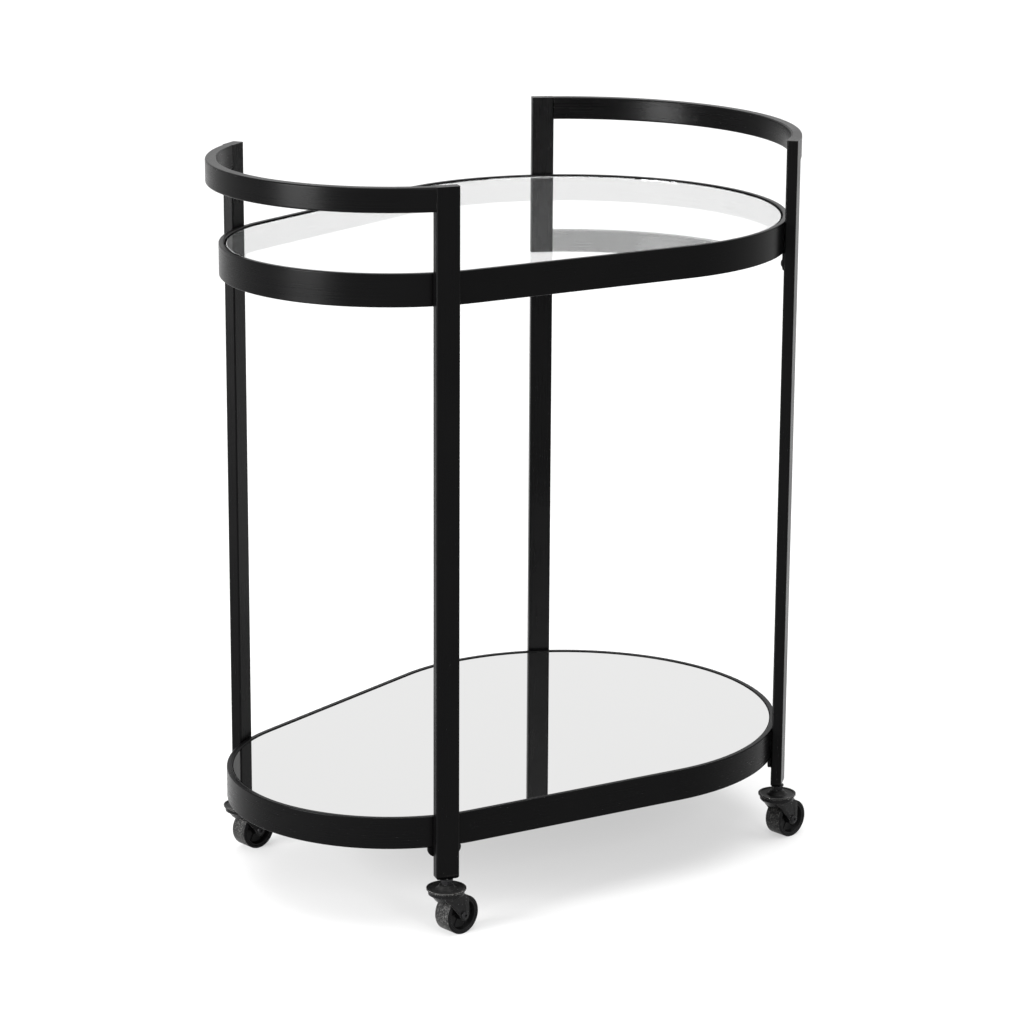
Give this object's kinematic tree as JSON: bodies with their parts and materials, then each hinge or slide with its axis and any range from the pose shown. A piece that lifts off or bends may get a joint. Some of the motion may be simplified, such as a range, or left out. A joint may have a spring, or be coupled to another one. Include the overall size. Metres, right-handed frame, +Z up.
{
  "type": "bar cart",
  "caption": "Oval bar cart: black flat tube posts with bowed end handles carry a glass top shelf and a mirror bottom shelf on swivel casters.",
  "frame": {"origin": "on the floor under the middle of the cart's bounding box", "axes": "+Z up, +X to the wide end, -Y to the front"},
  "size_m": [0.6972, 0.464, 0.788],
  "materials": {
    "black_coat": "satin",
    "caster_black": "satin",
    "black_screw": "satin",
    "clear_glass": "gloss",
    "mirror": "mirror",
    "board": "matte",
    "clear_pad": "gloss",
    "steel": "satin",
    "wheel_plastic": "matte",
    "tyre_grey": "matte"
  },
  "bodies": {
    "frame": {"top_rim": "black_coat", "bottom_rim": "black_coat", "top_ledge": "black_coat", "bottom_ledge": "black_coat", "glass_shelf": "clear_glass", "mirror_board": "board", "mirror_shelf": "mirror", "glass_pads": "clear_pad", "handle_left": "black_coat", "handle_right": "black_coat", "top_lugs": "black_coat", "bottom_lugs": "black_coat", "shelf_screws": "black_screw", "rivet_nuts": "steel", "post_end_plugs": "black_coat", "post_front_left": "black_coat", "stem_front_left": "steel", "lock_nut_front_left": "black_screw", "top_plate_front_left": "caster_black", "ball_race_front_left": "steel", "post_back_left": "black_coat", "stem_back_left": "steel", "lock_nut_back_left": "black_screw", "top_plate_back_left": "caster_black", "ball_race_back_left": "steel", "post_back_right": "black_coat", "stem_back_right": "steel", "lock_nut_back_right": "black_screw", "top_plate_back_right": "caster_black", "ball_race_back_right": "steel", "post_front_right": "black_coat", "stem_front_right": "steel", "lock_nut_front_right": "black_screw", "top_plate_front_right": "caster_black", "ball_race_front_right": "steel"},
    "swivel_front_left": {"fork_front_left": "caster_black", "axle_bolt_front_left": "black_screw", "axle_nut_front_left": "black_screw"},
    "wheel_front_left": {"wheel_core_front_left": "wheel_plastic", "tyre_front_left": "tyre_grey"},
    "swivel_back_left": {"fork_back_left": "caster_black", "axle_bolt_back_left": "black_screw", "axle_nut_back_left": "black_screw"},
    "wheel_back_left": {"wheel_core_back_left": "wheel_plastic", "tyre_back_left": "tyre_grey"},
    "swivel_back_right": {"fork_back_right": "caster_black", "axle_bolt_back_right": "black_screw", "axle_nut_back_right": "black_screw"},
    "wheel_back_right": {"wheel_core_back_right": "wheel_plastic", "tyre_back_right": "tyre_grey"},
    "swivel_front_right": {"fork_front_right": "caster_black", "axle_bolt_front_right": "black_screw", "axle_nut_front_right": "black_screw"},
    "wheel_front_right": {"wheel_core_front_right": "wheel_plastic", "tyre_front_right": "tyre_grey"}
  },
  "joints": [
    {"name": "caster_swivel_front_left", "type": "hinge", "parent": "frame", "child": "swivel_front_left", "pos_m": [-0.23013, -0.16992, 0.046], "axis": [0, 0, 1], "continuous": true},
    {"name": "wheel_spin_front_left", "type": "hinge", "parent": "swivel_front_left", "child": "wheel_front_left", "pos_m": [-0.21583, -0.16992, 0.021], "axis": [0, 1, 0], "continuous": true},
    {"name": "caster_swivel_back_left", "type": "hinge", "parent": "frame", "child": "swivel_back_left", "pos_m": [-0.23013, 0.16992, 0.046], "axis": [0, 0, 1], "continuous": true},
    {"name": "wheel_spin_back_left", "type": "hinge", "parent": "swivel_back_left", "child": "wheel_back_left", "pos_m": [-0.21583, 0.16992, 0.021], "axis": [0, 1, 0], "continuous": true},
    {"name": "caster_swivel_back_right", "type": "hinge", "parent": "frame", "child": "swivel_back_right", "pos_m": [0.23914, 0.19664, 0.046], "axis": [0, 0, 1], "continuous": true},
    {"name": "wheel_spin_back_right", "type": "hinge", "parent": "swivel_back_right", "child": "wheel_back_right", "pos_m": [0.25344, 0.19664, 0.021], "axis": [0, 1, 0], "continuous": true},
    {"name": "caster_swivel_front_right", "type": "hinge", "parent": "frame", "child": "swivel_front_right", "pos_m": [0.23914, -0.19664, 0.046], "axis": [0, 0, 1], "continuous": true},
    {"name": "wheel_spin_front_right", "type": "hinge", "parent": "swivel_front_right", "child": "wheel_front_right", "pos_m": [0.25344, -0.19664, 0.021], "axis": [0, 1, 0], "continuous": true}
  ]
}
